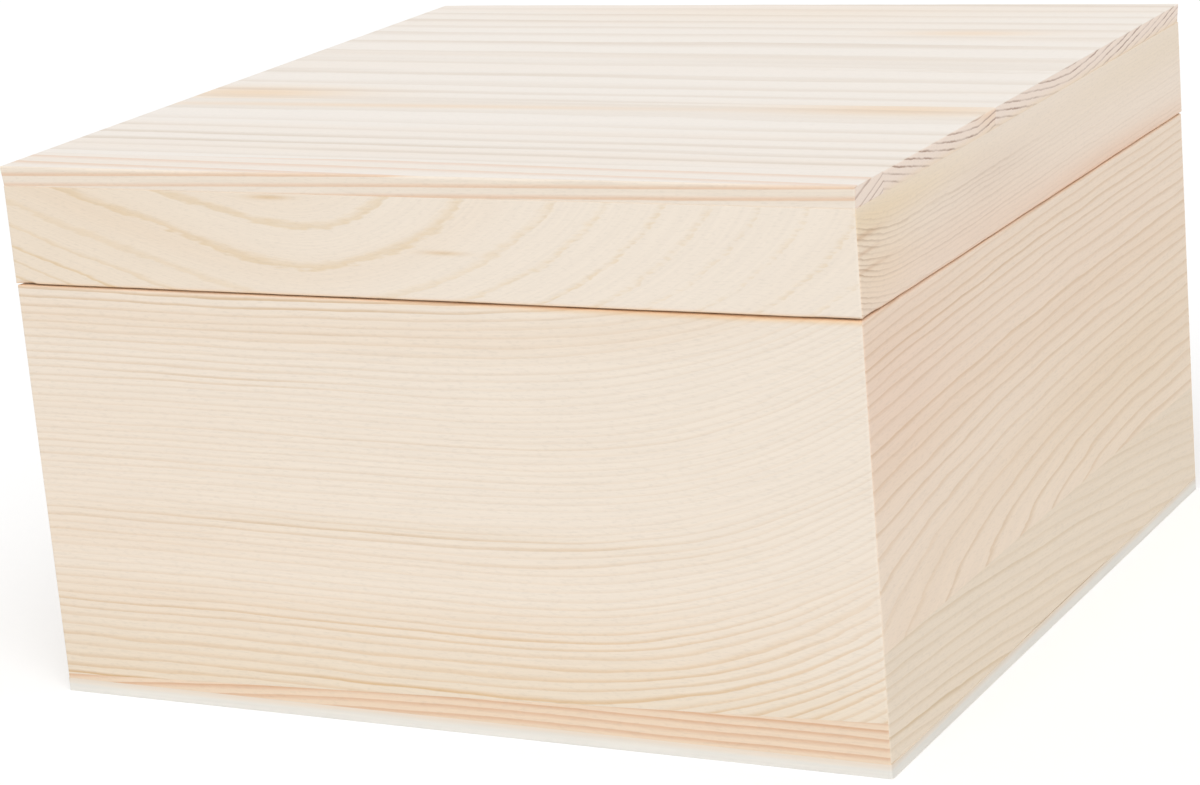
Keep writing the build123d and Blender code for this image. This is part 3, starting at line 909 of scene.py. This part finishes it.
class CaseBoards(bpy.types.Operator):
    """Makes the boards of the case from their boxes in the frame"""

    bl_idname = "wooden_box.case_boards"
    bl_label = "Case Boards"

    def execute(self, context):
        look = context.scene.box_wood
        edges = context.scene.box_edges
        front_low, front_high = node_box("front_board")
        lower_low, lower_high = node_box("front_lower_stave")
        right_low, _ = node_box("right_board")
        left_low, _ = node_box("left_board")
        half_width = front_high[0]
        half_depth = -front_low[1]
        wall = front_high[1] - front_low[1]
        rim = front_high[2]
        bottom = lower_low[2]

        def front_glue(place):
            share = (place + half_width) / (2 * half_width)
            return front_low[2] + share * (lower_high[2] - front_low[2])

        glued = even(edges.glue_rounding)
        opened = opened_joint(edges.glue_rounding, edges.open_place)
        # Node, side, foot, top, start of the unevenness along the rim where it has one, and wood
        boards = (
            ("front_board", "front", front_glue, even(rim), 0.4, front_board_wood),
            ("front_lower_stave", "front", even(bottom), front_glue, None, front_lower_wood),
            ("right_board", "right", even(right_low[2]), even(rim), 1.7, right_board_wood),
            ("right_lower_stave", "right", even(bottom), even(right_low[2]), None, right_lower_wood),
            ("left_board", "left", even(left_low[2]), even(rim), 2.9, left_board_wood),
        )
        for node, side, foot, top, start, make_wood in boards:
            rims = (glued, glued)
            if start is not None:
                rims = [hand_sanded(edges.case_rim_rounding, turn) for turn in (start, start + 1)]
            outer_foot = opened if node == "right_lower_stave" else glued
            surface = mitred_surface(side, half_width, half_depth, wall, foot, top,
                                     (*rims, glued, outer_foot), edges.corner_rounding)
            add_piece(node + "_sanded", surface, "case", node, make_wood(look))
        dress_node("back_board", back_board_wood(look))
        return {"FINISHED"}


class BaseSheet(bpy.types.Operator):
    """Makes the thin sheet under the case"""

    bl_idname = "wooden_box.base_sheet"
    bl_label = "Base Sheet"

    def execute(self, context):
        look = context.scene.box_wood
        edges = context.scene.box_edges
        low, high = node_box("base_panel")
        glued = even(edges.glue_rounding)
        lower = hand_sanded(edges.foot_rounding, 0.7)
        surface = sheet_surface(low, high, (glued, glued, lower, lower), edges.glue_rounding,
                                edges.foot_rounding, edges.corner_rounding, True, True)
        add_piece("base_panel_sanded", surface, "case", "base_panel",
                  base_sheet_material(look))
        return {"FINISHED"}


class LidRails(bpy.types.Operator):
    """Makes the rails of the lid's frame"""

    bl_idname = "wooden_box.lid_rails"
    bl_label = "Lid Rails"

    def execute(self, context):
        look = context.scene.box_wood
        edges = context.scene.box_edges
        low, high = node_box("lid_front_rail")
        half_width = high[0]
        half_depth = -low[1]
        wall = high[1] - low[1]
        glued = even(edges.glue_rounding)
        # Worn places of the lower edges: middle along the rail, length and depth
        front_wear = (
            (3.1 * mm - half_width, edges.chip_length, edges.chip_depth),
            (0, 62 * mm, 0.14 * mm),
            (half_width - 4 * mm, 13 * mm, 0.4 * mm),
        )
        side_wear = (
            (4 * mm - half_depth, 8 * mm, 0.5 * mm),
            (19 * mm - half_depth, 5 * mm, 0.15 * mm),
        )
        rails = (
            ("lid_front_rail", "front", chipped(edges.lid_rim_rounding, 1.3, front_wear), lid_front_wood),
            ("lid_right_rail", "right", chipped(edges.lid_rim_rounding, 2.6, side_wear), lid_right_wood),
            ("lid_left_rail", "left", hand_sanded(edges.lid_rim_rounding, 3.8), lid_left_wood),
        )
        for node, side, outer_rim, make_wood in rails:
            inner_rim = hand_sanded(edges.lid_rim_rounding, 4.4)
            surface = mitred_surface(side, half_width, half_depth, wall, even(low[2]), even(high[2]),
                                     (glued, glued, inner_rim, outer_rim), edges.corner_rounding)
            add_piece(node + "_sanded", surface, "lid", node, make_wood(look))
        dress_node("lid_back_rail", lid_back_wood(look))
        return {"FINISHED"}


class LidTop(bpy.types.Operator):
    """Makes the three staves of the lid's panel"""

    bl_idname = "wooden_box.lid_top"
    bl_label = "Lid Top"

    def execute(self, context):
        look = context.scene.box_wood
        edges = context.scene.box_edges
        glued = even(edges.glue_rounding)
        top = edges.top_rounding
        _, rail_high = node_box("lid_front_rail")
        # Node, the four roundings of its outline, whether its front and back edges are free, and wood
        staves = (
            ("top_front_stave", (hand_sanded(top, 0.2), glued, glued, glued), True, False, top_front_wood),
            ("top_middle_stave", (glued, glued, glued, glued), False, False, top_middle_wood),
            ("top_back_stave", (glued, hand_sanded(top, 5.1), glued, glued), False, True, top_back_wood),
        )
        for node, roundings, front_edge, back_edge, make_wood in staves:
            low, high = node_box(node)
            overhang = high[0] - rail_high[0]
            surface = sheet_surface(low, high, roundings, top, edges.glue_rounding,
                                    edges.corner_rounding, front_edge, back_edge, overhang)
            add_piece(node + "_sanded", surface, "lid", node, make_wood(look))
        return {"FINISHED"}


class Hinges(bpy.types.Operator):
    """Gives the hinges, pins and screws their metal"""

    bl_idname = "wooden_box.hinges"
    bl_label = "Hinges"

    def execute(self, context):
        look = context.scene.box_metal
        brass = metal("rolled_brass", look.brass_colour, 0.24, 0.36, 0.72)
        steel = metal("hinge_pin_metal", look.pin_colour, 0.2, 0.32, 0.8)
        for side in ("left", "right"):
            dress_node(f"{side}_hinge_case_leaf", brass)
            dress_node(f"{side}_hinge_lid_leaf", brass)
            dress_node(f"{side}_hinge_pin", steel)
        dress_node("case_hinge_screws", brass)
        dress_node("lid_hinge_screws", brass)
        return {"FINISHED"}


class Stage(bpy.types.Operator):
    """Lays the floor, sets the light and places the camera"""

    bl_idname = "wooden_box.stage"
    bl_label = "Stage"

    def execute(self, context):
        stage = context.scene.box_stage
        add_floor(stage)
        add_sky(stage)
        add_key_lamp(stage)
        add_camera(stage)
        context.scene.view_settings.view_transform = "Standard"
        return {"FINISHED"}


# Stage

def add_floor(stage):
    """A wide level square just under the box. To the camera it is lifted to white, shadow and all."""
    reach = 6.0
    drop = 0.02 * mm
    lift = 0.16
    corners = np.array(((-1, -1), (1, -1), (1, 1), (-1, 1))) * reach
    points = np.hstack((corners, np.full((4, 1), -drop)))
    mesh = bpy.data.meshes.new("floor")
    mesh.from_pydata(points.tolist(), [], [(0, 1, 2, 3)])
    floor = new_object("floor", mesh)
    material, nodes, shader = new_material("floor_paper")
    shader.inputs["Base Color"].default_value = (*stage.floor_colour, 1)
    shader.inputs["Roughness"].default_value = 0.9
    shader.inputs["Specular IOR Level"].default_value = 0.0
    shader.inputs["Emission Color"].default_value = (1, 1, 1, 1)
    nodes.feed(shader.inputs["Emission Strength"], nodes.times(nodes.seen(), lift))
    mesh.materials.append(material)


def add_sky(stage):
    """An even white sky: it lights the box at its own level and shows as white behind it."""
    world = bpy.data.worlds.new("studio_sky")
    world.use_nodes = True
    world.node_tree.nodes.clear()
    nodes = Nodes(world.node_tree)
    light = nodes.add("Background", {"Color": (1, 1, 1), "Strength": stage.sky_level})
    white = nodes.add("Background", {"Color": (1, 1, 1), "Strength": 1.0})
    mixed = nodes.add("MixShader", {0: nodes.seen(), 1: light.outputs[0], 2: white.outputs[0]})
    nodes.add("OutputWorld", {"Surface": mixed.outputs[0]})
    bpy.context.scene.world = world


def add_key_lamp(stage):
    """One wide, soft lamp in front of the box and above it."""
    lamp = bpy.data.lights.new("key_lamp", "SUN")
    lamp.energy = stage.key_level
    lamp.angle = stage.key_spread
    holder = new_object("key_lamp", lamp)
    holder.rotation_mode = "QUATERNION"
    holder.rotation_quaternion = Vector(stage.key_direction).to_track_quat("Z", "Y")


def add_camera(stage):
    """The camera: on a sphere about its target, looking in, rolled about its line of sight."""
    azimuth = stage.camera_azimuth
    elevation = stage.camera_elevation
    back = Vector((math.sin(azimuth) * math.cos(elevation),
                   -math.cos(azimuth) * math.cos(elevation),
                   math.sin(elevation)))
    data = bpy.data.cameras.new("camera")
    data.lens = stage.camera_lens
    data.sensor_width = 36
    data.clip_start = 0.01
    camera = new_object("camera", data)
    camera.location = Vector(stage.camera_target) + stage.camera_distance * back
    camera.rotation_mode = "QUATERNION"
    level = back.to_track_quat("Z", "Y")
    camera.rotation_quaternion = level @ Quaternion((0, 0, 1), -stage.camera_roll)
    bpy.context.scene.camera = camera


# Sidebar panel and registration

class BoxPanel(bpy.types.Panel):
    """Lists the steps that finish the box and their settings"""

    bl_idname = "VIEW3D_PT_wooden_box"
    bl_label = "Wooden Box"
    bl_space_type = "VIEW_3D"
    bl_region_type = "UI"
    bl_category = "Wooden Box"

    def draw(self, context):
        layout = self.layout
        for step in steps:
            layout.operator(step.bl_idname)
        for holder in holders:
            settings = getattr(context.scene, holder)
            column = layout.column(heading=settings.bl_rna.description)
            for name in settings.bl_rna.properties.keys():
                if name not in ("rna_type", "name"):
                    column.prop(settings, name)


steps = (CaseBoards, BaseSheet, LidRails, LidTop, Hinges, Stage)
holders = {
    "box_wood": WoodSettings,
    "box_edges": EdgeSettings,
    "box_metal": MetalSettings,
    "box_stage": StageSettings,
}


def register():
    for name, settings in holders.items():
        bpy.utils.register_class(settings)
        setattr(bpy.types.Scene, name, bpy.props.PointerProperty(type=settings))
    for step in steps:
        bpy.utils.register_class(step)
    bpy.utils.register_class(BoxPanel)


def unregister():
    bpy.utils.unregister_class(BoxPanel)
    for step in reversed(steps):
        bpy.utils.unregister_class(step)
    for name, settings in holders.items():
        delattr(bpy.types.Scene, name)
        bpy.utils.unregister_class(settings)


def main():
    register()
    bpy.ops.wooden_box.case_boards()
    bpy.ops.wooden_box.base_sheet()
    bpy.ops.wooden_box.lid_rails()
    bpy.ops.wooden_box.lid_top()
    bpy.ops.wooden_box.hinges()
    bpy.ops.wooden_box.stage()


if __name__ == "__main__":
    main()
